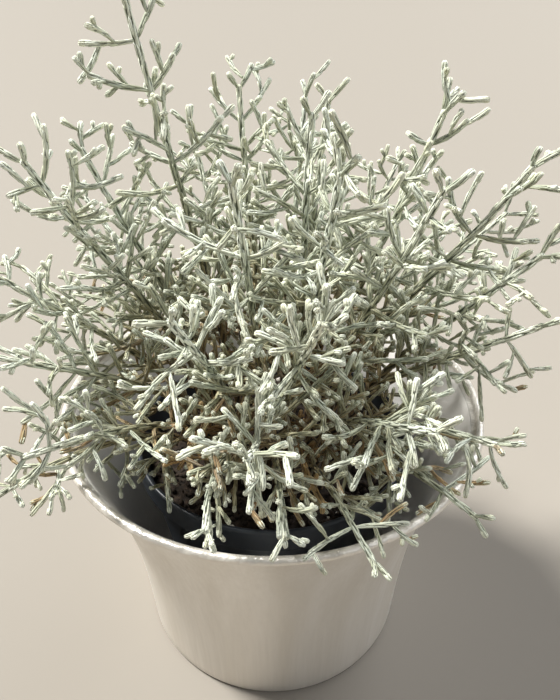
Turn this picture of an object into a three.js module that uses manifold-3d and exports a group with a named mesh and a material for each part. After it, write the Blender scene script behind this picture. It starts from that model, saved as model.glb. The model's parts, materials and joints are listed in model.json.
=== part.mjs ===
// A cushion bush in its plastic nursery pot, standing in a flared brushed-metal cover pot.
// Millimetres, +Z up. The origin is the middle of the cover pot's foot, on the surface that it stands on,
// and -Y is the side that the plant is looked at from.
import * as THREE from "three";
import { mergeVertices } from "three/addons/utils/BufferGeometryUtils.js";
import Module from "manifold-3d";

const wasm = await Module();
wasm.setup();

// Cover pot: a thin spun shell that flares towards a rolled bead.
const coverHeight = 102;
const coverFootRadius = 52;
const coverTopRadius = 71;
const coverFlare = 15;
const coverFlarePower = 3.2;
const coverWall = 1.1;
const coverFloor = 1.2;
const coverFootRound = 1.5;
const coverShares = [0.03, 0.2, 0.4, 0.58, 0.72, 0.84, 0.93];
const beadRadius = 1.3;
const beadTurns = [-0.5, -0.1, 0.3, 0.7, 1.1];
const coverSides = 36;

// Nursery pot: tapered wall, a thick lip and drain holes in the floor.
const restGap = 0.3;
const nurseryHeight = 84;
const nurseryFootRadius = 36;
const nurseryBodyRadius = 46.6;
const nurseryWall = 1;
const nurseryFloor = 1.2;
const nurseryFootRound = 1;
const lipRadius = 49.5;
const lipHeight = 9;
const lipThickness = 2;
const lipRound = 0.8;
const nurserySides = 24;
const drainHoles = 5;
const drainRadius = 4;
const drainCircle = 24;
const drainSides = 8;

// Potting soil, with its crumbs as a low relief and a hole for each stem.
const soilBelowLip = 10;
const soilEdgeDrop = 3;
const soilRelief = 1.1;
const soilSides = nurserySides;
const soilRings = 3;
const holeClearance = 0.9;
const holeSides = 4;
const holeMouth = 8;
const holeBottom = 0.5;

// Roots: where the stems stand in the soil.
const buriedLength = 14;
const rootInner = 3;
const rootSpread = 27;
const rootPitch = 6.2;
const rootRounds = 80;
const longestReach = 99;

// Stems: straight up out of the soil, then in one bend to a tip that points away from the bush's heart.
const straightLength = 6;
const stemFootRadius = 1.75;
const stemTipRadius = 1.1;
const stemSteps = 7;
const heartHeight = 118;
const tipUplift = 2;
const rootLean = 0.12;
const footPull = 0.42;
const tipPull = 0.36;
const stemTries = 60;
const stemTurn = [0.3, 2.3];
const stemSway = [0.1, 1];

// Whorls: the places along a stem where side shoots stand in pairs, out to the fork at its tip.
const whorlFirst = 0.26;
const whorlSpacing = 22;
const whorlHalf = 1.2;
const goldenAngle = 2.399963;

// Side shoots and twigs.
const shootLongest = 34;
const shootShortest = 12;
const shootRadius = 0.95;
const shortensFrom = 0.4;
const lowShare = 0.42;
const lowSize = 0.8;
const lowTip = 110;
const highTip = 155;
const lowTipSize = 0.72;
const dryShootSize = 0.6;
const forkSize = 0.75;
const twigLongest = 11;
const twigShortest = 5.5;
const twigRadius = 0.85;
const rootTaper = 0.86;
const sideAngles = [50, 78];
const forkAngles = [26, 44];
const sideTries = 14;
const spinPerTry = 0.2;
const shortenPerTry = 0.045;
const bendBack = 0.28;
const stray = 0.3;
const tipLength = 1.1;
const limbSides = 3;

// Least air between limbs of two stems, between limbs of one stem, and between a limb and a pot.
const stemGap = 0.6;
const ownGap = 0.25;
const wallGap = 1;

// Every stem's tip: direction round the pot in degrees (0 is +X, -90 the front), distance from the axis
// and height.
const leafyStems = [
  [172, 37, 222], [194, 65, 187], [176, 54, 185], [108, 33, 197], [43, 23, 196], [-7, 46, 197],
  [-17, 69, 187], [-19, 76, 165], [-24, 80, 148], [-80, 66, 168], [-108, 66, 167], [-66, 40, 190],
  [-42, 54, 186], [195, 82, 160], [213, 84, 147], [229, 88, 132], [218, 98, 108], [-100, 44, 190],
  [-93, 80, 144], [-64, 82, 146], [-47, 82, 130], [-52, 85, 112], [-87, 80, 120], [-73, 84, 112],
  [-100, 81, 122], [18, 84, 158], [32, 94, 124], [52, 78, 166], [78, 56, 190], [74, 92, 132],
  [100, 84, 152], [120, 60, 182], [124, 95, 118], [146, 84, 156], [160, 95, 126], [-20, 12, 196],
];
const dryStems = [[-113, 55, 112], [-76, 60, 107], [40, 58, 110]];
const leafySeed = 1;
const drySeed = 301;
const shootSeed = 1000;
const twigSeed = 2000;

const nurseryBase = coverFloor + restGap;
const nurseryTop = nurseryBase + nurseryHeight;
const underLip = nurseryTop - lipHeight;
const soilTop = nurseryTop - soilBelowLip;
const soilBottom = nurseryBase + nurseryFloor + restGap;

const finish = (color, roughness, metalness) =>
  new THREE.MeshStandardMaterial({ color, roughness, metalness });
const finishes = {
  brushedMetal: finish(0xc9c2b6, 0.38, 0.85),
  blackPlastic: finish(0x20262b, 0.5, 0),
  soil: finish(0x2b2018, 0.95, 0),
  silverFoliage: finish(0xb4bfac, 0.85, 0),
  dryFoliage: finish(0x9a7a4c, 0.9, 0),
};

const mix = (a, b, t) => a + (b - a) * t;
const clamp = (value, low, high) => Math.min(Math.max(value, low), high);
const radians = (degrees) => (degrees * Math.PI) / 180;

// A seeded source of numbers from 0 to 1.
function drawsFrom(seed) {
  let state = (seed * 7919 + 12345) >>> 0;
  const next = () => {
    state = (Math.imul(state, 1664525) + 1013904223) >>> 0;
    return state / 4294967296;
  };
  for (let i = 0; i < 3; i++) next();
  return next;
}

// Closed meshes and booleans.
function lathe(profile, sides) {
  const outline = profile.map(([r, z]) => new THREE.Vector2(r, z));
  return new THREE.LatheGeometry(outline, sides).rotateX(Math.PI / 2);
}

function uprightCylinder(radius, height, sides, x, y, bottom) {
  const cylinder = new THREE.CylinderGeometry(radius, radius, height, sides).rotateX(Math.PI / 2);
  return cylinder.translate(x, y, bottom + height / 2);
}

function toSolid(geometry) {
  const bare = new THREE.BufferGeometry().setAttribute("position", geometry.getAttribute("position"));
  bare.setIndex(geometry.index);
  const merged = mergeVertices(bare, 1e-4);
  return new wasm.Manifold(
    new wasm.Mesh({
      numProp: 3,
      vertProperties: new Float32Array(merged.attributes.position.array),
      triVerts: new Uint32Array(merged.index.array),
    }),
  );
}

function toGeometry(solid) {
  const mesh = solid.getMesh();
  return new THREE.BufferGeometry()
    .setAttribute("position", new THREE.BufferAttribute(new Float32Array(mesh.vertProperties), 3))
    .setIndex(new THREE.BufferAttribute(new Uint32Array(mesh.triVerts), 1));
}

// Pots and soil.
function coverRadiusAt(z) {
  const share = clamp(z / coverHeight, 0, 1);
  const taper = coverTopRadius - coverFootRadius - coverFlare;
  return coverFootRadius + taper * share + coverFlare * share ** coverFlarePower;
}

function coverPot() {
  const wall = coverShares.map((share) => [coverRadiusAt(share * coverHeight), share * coverHeight]);
  const bead = beadTurns.map((turn) => [
    coverTopRadius + beadRadius * Math.cos(turn * Math.PI),
    coverHeight - beadRadius + beadRadius * Math.sin(turn * Math.PI),
  ]);
  const inside = wall.slice(1).reverse().map(([r, z]) => [r - coverWall, z]);
  const foot = [[0, 0], [coverFootRadius - coverFootRound, 0]];
  const floor = [[coverFootRadius - coverWall - 1, coverFloor], [0, coverFloor]];
  return lathe([...foot, ...wall, ...bead, ...inside, ...floor], coverSides);
}

function nurseryInnerRadiusAt(z) {
  const share = Math.min((z - nurseryBase) / (nurseryHeight - lipHeight), 1);
  return mix(nurseryFootRadius, nurseryBodyRadius, share) - nurseryWall;
}

function nurseryPot() {
  const floor = nurseryBase + nurseryFloor;
  const outside = [
    [0, nurseryBase],
    [nurseryFootRadius - nurseryFootRound, nurseryBase],
    [nurseryFootRadius, nurseryBase + nurseryFootRound],
    [nurseryBodyRadius, underLip],
  ];
  const lip = [
    [lipRadius - 1, underLip + 0.4],
    [lipRadius, nurseryTop - lipRound],
    [lipRadius - 0.6, nurseryTop],
    [lipRadius - lipThickness, nurseryTop],
  ];
  const inside = [
    [nurseryBodyRadius - nurseryWall, underLip],
    [nurseryInnerRadiusAt(floor), floor],
    [0, floor],
  ];
  let solid = toSolid(lathe([...outside, ...lip, ...inside], nurserySides));
  for (let i = 0; i < drainHoles; i++) {
    const angle = (i * 2 * Math.PI) / drainHoles;
    const x = drainCircle * Math.cos(angle);
    const y = drainCircle * Math.sin(angle);
    const bottom = nurseryBase - nurseryFloor;
    const drill = uprightCylinder(drainRadius, nurseryFloor * 3, drainSides, x, y, bottom);
    solid = solid.subtract(toSolid(drill));
  }
  return toGeometry(solid);
}

function soilHeightAt(x, y) {
  const waves = Math.sin(x * 0.37 + 1) * Math.cos(y * 0.31) + 0.6 * Math.sin(y * 0.83 + x * 0.19);
  return soilTop + soilRelief * waves;
}

function pottingSoil(stems) {
  const rim = nurseryInnerRadiusAt(soilTop) - restGap * 2;
  const foot = nurseryInnerRadiusAt(soilBottom) - restGap * 2;
  const profile = [[0, soilBottom], [foot, soilBottom], [rim, soilTop - soilEdgeDrop]];
  for (let ring = soilRings; ring >= 0; ring--) profile.push([(rim * ring) / soilRings, soilTop]);
  const mound = lathe(profile, soilSides);
  const position = mound.getAttribute("position");
  for (let i = 0; i < position.count; i++) {
    const isOnTop = position.getZ(i) > soilTop - 1;
    if (isOnTop) position.setZ(i, soilHeightAt(position.getX(i), position.getY(i)));
  }
  const holeRadius = stemFootRadius + holeClearance;
  const bottom = soilTop - buriedLength - holeBottom;
  let solid = toSolid(mound);
  for (const { root } of stems) {
    const drill = uprightCylinder(holeRadius, buriedLength + holeMouth, holeSides, root.x, root.y, bottom);
    solid = solid.subtract(toSolid(drill));
  }
  return toGeometry(solid);
}

// True where a limb of this radius clears the pots, the soil and the surface underneath.
function isFree(point, radius) {
  const reach = Math.hypot(point.x, point.y);
  const room = radius + wallGap;
  if (point.z < room + 2) return false;
  const outer = coverRadiusAt(point.z) + 2 * beadRadius;
  const inner = coverRadiusAt(point.z) - coverWall - beadRadius;
  if (point.z < coverHeight + room && reach > inner - room && reach < outer + room) return false;
  if (reach >= inner) return true;
  if (point.z < nurseryTop + room && reach > lipRadius - 3.5 - room) return false;
  return point.z > soilTop + 2 * soilRelief + room;
}

// The straight pieces of a limb, with what the test of distance needs.
function piecesOf(limb) {
  return limb.points.slice(1).map((end, i) => ({
    start: limb.points[i],
    along: new THREE.Vector3().subVectors(end, limb.points[i]),
    middle: new THREE.Vector3().addVectors(end, limb.points[i]).multiplyScalar(0.5),
    half: end.distanceTo(limb.points[i]) / 2,
    radius: Math.max(limb.radii[i], limb.radii[i + 1]),
    limb,
  }));
}

// The shortest distance between the middle lines of two straight pieces.
function pieceDistance(p, q) {
  const between = new THREE.Vector3().subVectors(p.start, q.start);
  const pp = p.along.dot(p.along);
  const qq = q.along.dot(q.along);
  const pq = p.along.dot(q.along);
  const pb = p.along.dot(between);
  const qb = q.along.dot(between);
  const denominator = pp * qq - pq * pq;
  let onP = denominator > 1e-9 ? clamp((pq * qb - pb * qq) / denominator, 0, 1) : 0;
  let onQ = (pq * onP + qb) / qq;
  if (onQ < 0) {
    onQ = 0;
    onP = clamp(-pb / pp, 0, 1);
  } else if (onQ > 1) {
    onQ = 1;
    onP = clamp((pq - pb) / pp, 0, 1);
  }
  return between.addScaledVector(p.along, onP).addScaledVector(q.along, -onQ).length();
}

const grown = [];

// Limbs that start from one whorl of one parent touch at their roots.
const areTwins = (a, b) => a.parent && a.parent === b.parent && Math.abs(a.share - b.share) < 0.02;

// A limb fits if it keeps clear of the pots and of every limb but its parent and its twins.
function fits(limb) {
  for (let i = 1; i < limb.points.length; i++) {
    for (const t of [0.25, 0.5, 0.75, 1]) {
      const point = new THREE.Vector3().lerpVectors(limb.points[i - 1], limb.points[i], t);
      if (!isFree(point, limb.radii[i])) return false;
    }
  }
  for (const piece of piecesOf(limb)) {
    for (const other of grown) {
      if (other.limb === limb.parent || areTwins(other.limb, limb)) continue;
      const need = piece.radius + other.radius + (other.limb.stem === limb.stem ? ownGap : stemGap);
      if (piece.middle.distanceTo(other.middle) > piece.half + other.half + need) continue;
      if (pieceDistance(piece, other) < need) return false;
    }
  }
  return true;
}

function keep(limb) {
  grown.push(...piecesOf(limb));
  limb.stem.limbs.push(limb);
  if (limb.parent) limb.parent.children.push(limb);
}

// Each root stands on the side that its stem leans to, pushed apart from the others to a common pitch.
function placeRoots(stems) {
  for (const stem of stems) {
    const out = mix(rootInner, rootSpread, stem.reach / longestReach);
    stem.root = new THREE.Vector2(out * Math.cos(stem.azimuth), out * Math.sin(stem.azimuth));
  }
  for (let round = 0; round < rootRounds; round++) {
    for (const a of stems) {
      for (const b of stems) {
        const apart = new THREE.Vector2().subVectors(b.root, a.root);
        const distance = apart.length();
        if (a === b || distance >= rootPitch) continue;
        apart.multiplyScalar((rootPitch - distance) / (2 * distance));
        b.root.add(apart);
        a.root.sub(apart);
      }
    }
  }
}

function stemLine(stem, turn, sway) {
  const { root, tip, azimuth, reach } = stem;
  const foot = new THREE.Vector3(root.x, root.y, soilTop + straightLength);
  const span = foot.distanceTo(tip);
  const pitch = Math.atan2((tip.z - heartHeight) * tipUplift, reach);
  const east = Math.cos(azimuth + turn);
  const north = Math.sin(azimuth + turn);
  const heading = new THREE.Vector3(Math.cos(pitch) * east, Math.cos(pitch) * north, Math.sin(pitch));
  const lean = new THREE.Vector3(east * rootLean + sway, north * rootLean - sway, 1).normalize();
  const nearFoot = foot.clone().addScaledVector(lean, span * footPull);
  const nearTip = tip.clone().addScaledVector(heading, -span * tipPull);
  return new THREE.CubicBezierCurve3(foot, nearFoot, nearTip, tip).getPoints(stemSteps);
}

// A stem takes the first line that clears the stems before it, out of lines that stray further and further.
function growStem(stem) {
  const draw = drawsFrom(stem.seed);
  for (let attempt = 0; attempt < stemTries; attempt++) {
    const loosen = attempt / stemTries;
    const turn = (draw() - 0.5) * mix(stemTurn[0], stemTurn[1], loosen);
    const sway = (draw() - 0.5) * mix(stemSway[0], stemSway[1], loosen);
    const points = stemLine(stem, turn, sway);
    const radii = points.map((_, i) => mix(stemFootRadius, stemTipRadius, Math.sqrt(i / stemSteps)));
    const limb = { points, radii, stem, level: 0, parent: null, share: 0, children: [] };
    if (!fits(limb)) continue;
    keep(limb);
    return;
  }
  throw new Error("stem " + stem.name + " finds no clear way");
}

function lengthOf(limb) {
  return limb.points.slice(1).reduce((sum, point, i) => sum + point.distanceTo(limb.points[i]), 0);
}

// The point, direction and radius at a share of a limb's steps.
function along(limb, share) {
  const steps = limb.points.length - 1;
  const index = Math.min(Math.floor(share * steps), steps - 1);
  const start = limb.points[index];
  const end = limb.points[index + 1];
  const rest = share * steps - index;
  return {
    point: new THREE.Vector3().lerpVectors(start, end, rest),
    direction: new THREE.Vector3().subVectors(end, start).normalize(),
    radius: mix(limb.radii[index], limb.radii[index + 1], rest),
  };
}

// A unit vector square to a direction, turned round it.
function sideways(direction, turn) {
  const up = Math.abs(direction.z) > 0.95 ? new THREE.Vector3(1, 0, 0) : new THREE.Vector3(0, 0, 1);
  const across = new THREE.Vector3().crossVectors(direction, up).normalize();
  const over = new THREE.Vector3().crossVectors(across, direction).normalize();
  return across.multiplyScalar(Math.cos(turn)).addScaledVector(over, Math.sin(turn));
}

// One side shoot or twig off a parent: it leaves at an angle and bends a little back along the parent.
function growSide(parent, { share, turn, length, radius, bends, angles }, draw) {
  const { point, direction } = along(parent, share);
  for (let attempt = 0; attempt < sideTries; attempt++) {
    const spin = turn + (draw() - 0.5) * (0.4 + attempt * spinPerTry);
    const wide = radians(mix(angles[0], angles[1], draw()));
    const reach = length * (1 - attempt * shortenPerTry) * mix(0.85, 1.12, draw());
    const heading = direction.clone().multiplyScalar(Math.cos(wide));
    heading.addScaledVector(sideways(direction, spin), Math.sin(wide));
    const points = [point.clone()];
    for (let i = 0; i < bends; i++) {
      points.push(points[i].clone().addScaledVector(heading, reach / bends));
      const drift = new THREE.Vector3(draw() - 0.5, draw() - 0.5, draw() - 0.3).multiplyScalar(stray);
      heading.addScaledVector(direction, bendBack).add(drift).normalize();
    }
    const radii = points.map((_, i) => radius * (i === 0 ? rootTaper : 1));
    const limb = { points, radii, stem: parent.stem, level: parent.level + 1, parent, share, children: [] };
    if (!fits(limb)) continue;
    keep(limb);
    return;
  }
}

// Side shoots stand in pairs, one on each side of the stem, and the last pair is the fork at its tip.
function growShoots(stem) {
  const draw = drawsFrom(stem.seed + shootSeed);
  const main = stem.limbs[0];
  const length = lengthOf(main);
  const last = 1 - whorlHalf / length;
  const count = Math.round((length * (last - whorlFirst)) / whorlSpacing);
  const tallness = Math.min(Math.max((stem.tip.z - lowTip) / (highTip - lowTip), 0), 1);
  const tipSize = mix(lowTipSize, 1, tallness);
  for (let i = 0; i <= count; i++) {
    const isFork = i === count;
    const share = mix(whorlFirst, last, i / count);
    const upward = Math.max(0, (share - shortensFrom) / (1 - shortensFrom));
    const longest = isFork ? shootShortest * forkSize : mix(shootLongest, shootShortest, upward);
    const size = longest * tipSize * (share < lowShare ? lowSize : 1) * (stem.dry ? dryShootSize : 1);
    const turn = i * goldenAngle + stem.seed;
    const habit = isFork ? { bends: 1, angles: forkAngles } : { bends: 2, angles: sideAngles };
    const plan = { share, radius: shootRadius, ...habit };
    growSide(main, { ...plan, turn, length: size * mix(0.8, 1.1, draw()) }, draw);
    growSide(main, { ...plan, turn: turn + Math.PI, length: size * mix(0.6, 1, draw()) }, draw);
  }
}

// A side shoot bears one twig at its bend and one at its end, as a fork.
function growTwigs(stem) {
  const draw = drawsFrom(stem.seed + twigSeed);
  for (const shoot of stem.limbs.filter((limb) => limb.level === 1 && limb.points.length === 3)) {
    const end = 1 - whorlHalf / lengthOf(shoot);
    const turn = draw() * 2 * Math.PI;
    const atBend = { share: 0.5, turn, length: mix(0.7, 1, draw()) * twigLongest, angles: sideAngles };
    growSide(shoot, { radius: twigRadius, bends: 1, ...atBend }, draw);
    const length = mix(0.9, 1.3, draw()) * twigShortest;
    const atEnd = { share: end, turn: turn + goldenAngle, length, angles: forkAngles };
    growSide(shoot, { radius: twigRadius, bends: 1, ...atEnd }, draw);
  }
}

// The rings of a limb's mesh: a close pair round every whorl of children, one at each bend that is left over
// and one at the end.
function ringsOf(limb) {
  const steps = limb.points.length - 1;
  const half = whorlHalf / lengthOf(limb);
  const whorls = [...new Set(limb.children.map((child) => child.share))];
  const rings = whorls.flatMap((share) => [{ share: share - half, whorl: share }, { share: share + half }]);
  for (let i = limb.parent ? 1 : 0; i <= steps; i++) {
    const share = i / steps;
    if (rings.every((ring) => Math.abs(ring.share - share) > 1.6 * half)) rings.push({ share });
  }
  rings.sort((a, b) => a.share - b.share);
  return rings.map((ring) => ({ ...ring, ...along(limb, clamp(ring.share, 0, 1)) }));
}

// One stem's closed mesh. Each ring is turned half a side against the last, as close-pressed scale leaves
// stand, and a child limb takes the place of the face of its parent that looks its way.
function stemGeometry(stem) {
  const corners = [];
  const faces = [];
  const place = (point) => corners.push(point) - 1;

  const addRing = (ring, side, turned) => {
    const over = new THREE.Vector3().crossVectors(ring.direction, side);
    return Array.from({ length: limbSides }, (_, k) => {
      const angle = ((k + turned / 2) * 2 * Math.PI) / limbSides;
      const corner = ring.point.clone().addScaledVector(side, ring.radius * Math.cos(angle));
      return place(corner.addScaledVector(over, ring.radius * Math.sin(angle)));
    });
  };

  const bridge = (low, high) =>
    low.flatMap((corner, k) => {
      const next = (k + 1) % limbSides;
      return [[corner, low[next], high[k]], [low[next], high[next], high[k]]];
    });

  const facing = (face, heading) => {
    const [a, b, c] = face.map((i) => corners[i]);
    const ab = new THREE.Vector3().subVectors(b, a);
    const ac = new THREE.Vector3().subVectors(c, a);
    return ab.cross(ac).normalize().dot(heading);
  };

  const addLimb = (limb, rootFace) => {
    const rings = ringsOf(limb);
    let last = rootFace;
    let side;
    if (rootFace) {
      side = new THREE.Vector3().subVectors(corners[rootFace[0]], limb.points[0]);
    } else {
      side = sideways(rings[0].direction, 0);
      const foot = new THREE.Vector3(stem.root.x, stem.root.y, soilTop - buriedLength);
      last = addRing({ ...rings[0], point: foot }, side, 0);
      faces.push([last[2], last[1], last[0]]);
    }
    let whorl = null;
    rings.forEach((ring, i) => {
      side = side.addScaledVector(ring.direction, -side.dot(ring.direction)).normalize();
      const next = addRing(ring, side, rootFace ? i : i + 1);
      const band = bridge(last, next);
      for (const child of limb.children.filter((one) => one.share === whorl)) {
        const heading = new THREE.Vector3().subVectors(child.points[1], child.points[0]).normalize();
        const nearer = (most, face) => (facing(face, heading) > facing(most, heading) ? face : most);
        const best = band.reduce(nearer);
        band.splice(band.indexOf(best), 1);
        addLimb(child, best);
      }
      faces.push(...band);
      whorl = ring.whorl ?? null;
      last = next;
    });
    const end = rings[rings.length - 1];
    const tip = place(end.point.clone().addScaledVector(end.direction, tipLength));
    last.forEach((corner, k) => faces.push([corner, last[(k + 1) % limbSides], tip]));
  };

  addLimb(stem.limbs[0], null);
  const positions = new Float32Array(corners.flatMap((corner) => corner.toArray()));
  return new THREE.BufferGeometry()
    .setAttribute("position", new THREE.BufferAttribute(positions, 3))
    .setIndex(faces.flat());
}

// All the stems are laid out first, then the side shoots grow between them, and the twigs between those.
function growPlant() {
  const numbered = (prefix, rows, dry) =>
    rows.map(([degrees, reach, height], i) => {
      const azimuth = radians(degrees);
      const tip = new THREE.Vector3(reach * Math.cos(azimuth), reach * Math.sin(azimuth), height);
      const name = prefix + String(i + 1).padStart(2, "0");
      return { name, azimuth, reach, tip, seed: i + (dry ? drySeed : leafySeed), dry, limbs: [] };
    });
  const stems = [...numbered("leafy_stem_", leafyStems, false), ...numbered("dry_stem_", dryStems, true)];
  placeRoots(stems);
  stems.forEach(growStem);
  stems.forEach(growShoots);
  stems.forEach(growTwigs);
  return stems;
}

const plant = new THREE.Group();
const pottedBush = new THREE.Group();

function addPiece(group, name, geometry, look) {
  const piece = new THREE.Mesh(geometry, look);
  piece.name = name;
  group.add(piece);
}

const stems = growPlant();
for (const stem of stems) {
  const look = stem.dry ? finishes.dryFoliage : finishes.silverFoliage;
  addPiece(plant, stem.name, stemGeometry(stem), look);
}
addPiece(pottedBush, "cover_pot", coverPot(), finishes.brushedMetal);
addPiece(pottedBush, "nursery_pot", nurseryPot(), finishes.blackPlastic);
addPiece(pottedBush, "potting_soil", pottingSoil(stems), finishes.soil);
pottedBush.add(plant);

export default pottedBush;
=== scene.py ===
# The potted cushion bush, dressed: its stems grow by the same rule as the solids, in millimetres, and every
# shoot is then clothed in scale leaves. The pots and the soil are turned again, finer, to the same sizes.
import json
import math

import bpy
import numpy as np
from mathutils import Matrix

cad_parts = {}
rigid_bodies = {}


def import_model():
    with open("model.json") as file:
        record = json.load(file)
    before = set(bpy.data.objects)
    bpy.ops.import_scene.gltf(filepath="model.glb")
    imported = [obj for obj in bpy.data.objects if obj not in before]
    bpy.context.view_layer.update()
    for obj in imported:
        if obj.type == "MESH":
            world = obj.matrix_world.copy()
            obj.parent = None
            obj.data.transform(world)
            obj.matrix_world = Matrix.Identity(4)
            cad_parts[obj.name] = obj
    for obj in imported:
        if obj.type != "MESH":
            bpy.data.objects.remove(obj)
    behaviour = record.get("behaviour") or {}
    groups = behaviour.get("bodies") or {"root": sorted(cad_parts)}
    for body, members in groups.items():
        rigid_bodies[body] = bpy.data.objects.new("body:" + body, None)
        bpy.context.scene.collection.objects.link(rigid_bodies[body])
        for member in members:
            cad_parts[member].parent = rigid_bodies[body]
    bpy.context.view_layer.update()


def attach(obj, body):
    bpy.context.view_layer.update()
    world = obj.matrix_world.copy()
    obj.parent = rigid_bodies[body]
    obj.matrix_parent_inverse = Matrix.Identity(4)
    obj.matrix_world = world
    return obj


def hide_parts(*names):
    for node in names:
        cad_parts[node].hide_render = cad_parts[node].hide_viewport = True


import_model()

MM = 0.001

# Camera, fitted to the rim and the foot of the cover pot in a frame of 560 by 700 pixels.
FRAME_HEIGHT_PIXELS = 700
FOCAL_PIXELS = 600
SENSOR_WIDTH = 36
CAMERA_ELEVATION = 33
CAMERA_DISTANCE = 203
CAMERA_TARGET = (2.7, 0, 119)

# Cover pot.
COVER_HEIGHT = 102
COVER_FOOT_RADIUS = 52
COVER_TOP_RADIUS = 71
COVER_FLARE = 15
COVER_FLARE_POWER = 3.2
COVER_WALL = 1.1
COVER_FLOOR = 1.2
COVER_FOOT_ROUND = 1.5
BEAD_RADIUS = 1.3
COVER_SIDES = 180
COVER_RINGS = 28

# Nursery pot.
REST_GAP = 0.3
NURSERY_HEIGHT = 84
NURSERY_FOOT_RADIUS = 36
NURSERY_BODY_RADIUS = 46.6
NURSERY_WALL = 1
NURSERY_FLOOR = 1.2
LIP_RADIUS = 49.5
LIP_HEIGHT = 9
LIP_THICKNESS = 2
DRAIN_HOLES = 5
DRAIN_RADIUS = 4
DRAIN_CIRCLE = 24

# Soil.
SOIL_BELOW_LIP = 10
SOIL_RELIEF = 1.1

# How far limbs keep off the pots, the soil and the surface underneath.
WALL_GAP = 1
GROUND_GAP = 2
LIP_KEEP_OUT = 3.5

# Roots and stems.
ROOT_INNER = 3
ROOT_SPREAD = 27
ROOT_PITCH = 6.2
ROOT_ROUNDS = 80
LONGEST_REACH = 99
STRAIGHT_LENGTH = 6
STEM_FOOT_RADIUS = 1.75
STEM_TIP_RADIUS = 1.1
STEM_STEPS = 7
HEART_HEIGHT = 118
TIP_UPLIFT = 2
ROOT_LEAN = 0.12
FOOT_PULL = 0.42
TIP_PULL = 0.36
STEM_TRIES = 60
STEM_TURN = (0.3, 2.3)
STEM_SWAY = (0.1, 1)

# Side shoots and twigs that the solids have too.
WHORL_FIRST = 0.26
WHORL_SPACING = 22
WHORL_HALF = 1.2
GOLDEN_ANGLE = 2.399963
SHOOT_LONGEST = 34
SHOOT_SHORTEST = 12
SHOOT_RADIUS = 0.95
SHORTENS_FROM = 0.4
LOW_SHARE = 0.42
LOW_SIZE = 0.8
LOW_TIP = 110
HIGH_TIP = 155
LOW_TIP_SIZE = 0.72
DRY_SHOOT_SIZE = 0.6
FORK_SIZE = 0.75
TWIG_LONGEST = 11
TWIG_SHORTEST = 5.5
TWIG_RADIUS = 0.85
ROOT_TAPER = 0.86
SIDE_ANGLES = (50, 78)
FORK_ANGLES = (26, 44)
SIDE_TRIES = 14
SPIN_PER_TRY = 0.2
SHORTEN_PER_TRY = 0.045
BEND_BACK = 0.28
STRAY = 0.3
STEM_GAP = 0.6
OWN_GAP = 0.25
SPIN = 0.4
REACH_SHARES = (0.85, 1.12)
DRIFT_MIDDLES = (0.5, 0.5, 0.3)
TWIG_SIZES = (0.7, 1)
FORK_TWIG_SIZES = (0.9, 1.3)
NEARLY_UPRIGHT = 0.95

# The two shoots of a pair: the least and the most of the full length, and the turn round the stem.
PAIR = ((0.8, 1.1, 0), (0.6, 1, math.pi))

# Limbs of one parent may touch where they leave it at the same share of its length, within this much.
TWIN_SHARE = 0.02
FINE_TWIN_SHARE = 1e-6

# Tips: direction round the pot in degrees (0 is +X, -90 the front), distance from the axis and height.
LEAFY_STEMS = [
    (172, 37, 222), (194, 65, 187), (176, 54, 185), (108, 33, 197), (43, 23, 196), (-7, 46, 197),
    (-17, 69, 187), (-19, 76, 165), (-24, 80, 148), (-80, 66, 168), (-108, 66, 167), (-66, 40, 190),
    (-42, 54, 186), (195, 82, 160), (213, 84, 147), (229, 88, 132), (218, 98, 108), (-100, 44, 190),
    (-93, 80, 144), (-64, 82, 146), (-47, 82, 130), (-52, 85, 112), (-87, 80, 120), (-73, 84, 112),
    (-100, 81, 122), (18, 84, 158), (32, 94, 124), (52, 78, 166), (78, 56, 190), (74, 92, 132),
    (100, 84, 152), (120, 60, 182), (124, 95, 118), (146, 84, 156), (160, 95, 126), (-20, 12, 196),
]
DRY_STEMS = [(-113, 55, 112), (-76, 60, 107), (40, 58, 110)]
LEAFY_SEED = 1
DRY_SEED = 301
SHOOT_SEED = 1000
TWIG_SEED = 2000

# Finer growth between the shoots of the solids.
FINE_GAP = 0.25
FINE_OWN_GAP = 0.1
FINE_STRAY = 0.6
FINE_BEND_BACK = 0.12
FINE_DROOP = 0.1
FILL_SEED = 3000
FILL_FIRST = 0.3
FILL_LAST = 0.97
FILL_SPACING = 10.5
FILL_STRAY = 0.6
FILL_TURN = 1.7
FILL_SIDES = (0, math.pi * 0.9)
FILL_SIZES = (0.45, 1.05)
FILL_LONGEST = 34
FILL_SHORTEST = 14
FILL_RADIUS = 0.85
FILL_ANGLES = (44, 88)
SPRIG_SEED = 4000
SPRIG_SHARES = (0.36, 0.7)
SPRIG_STRAY = 0.2
SPRIG_SIZES = (0.55, 1.1)
SPRIG_BENDS_FROM = 8
SPRIG_PARENT_LENGTH = 9
SPRIG_LONGEST = 17
SPRIG_SHORTEST = 8
SPRIG_RADIUS = 0.8
SPRIG_ANGLES = (38, 76)
FINGER_SEED = 5000
FINGER_LENGTH = 3.4
FINGER_SIZES = (0.7, 1.15)
FINGER_BELOW_END = (2.5, 5)
FINGER_PARENT_LENGTH = 5
PAIR_CHANCE = 0.22
FINGER_CHANCE = 0.5
FINGER_RADIUS = 0.72
FINGER_ANGLES = (30, 55)

# Shoots are dressed slimmer low down, by these shares of their radius at these heights.
SLIM_HEIGHTS = (108, 165)
SLIM_SHARES = (0.74, 0.91)

# Ages here run from 0, brown and woody, to 1, silver. Outer shoots have higher ones than inner shoots:
# partly real browning of inner wood, partly painted shade that darkens the inside of the bush.
AGE_CENTRE = (0, 0, 90)
INNER_AGE_AND_SHADE_REACH = (34, 76)
FOOT_AGES_AND_SHADE = (0.3, 0.84)
END_AGES_AND_SHADE = (0.78, 0.97)
BROWN_SHARE = 0.13
BROWN_BELOW = 132
BROWN_AGES = (0.2, 0.62)
STEM_FOOT_AGE = 0.05
STEM_END_AGES = (0.95, 1.12)

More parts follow.
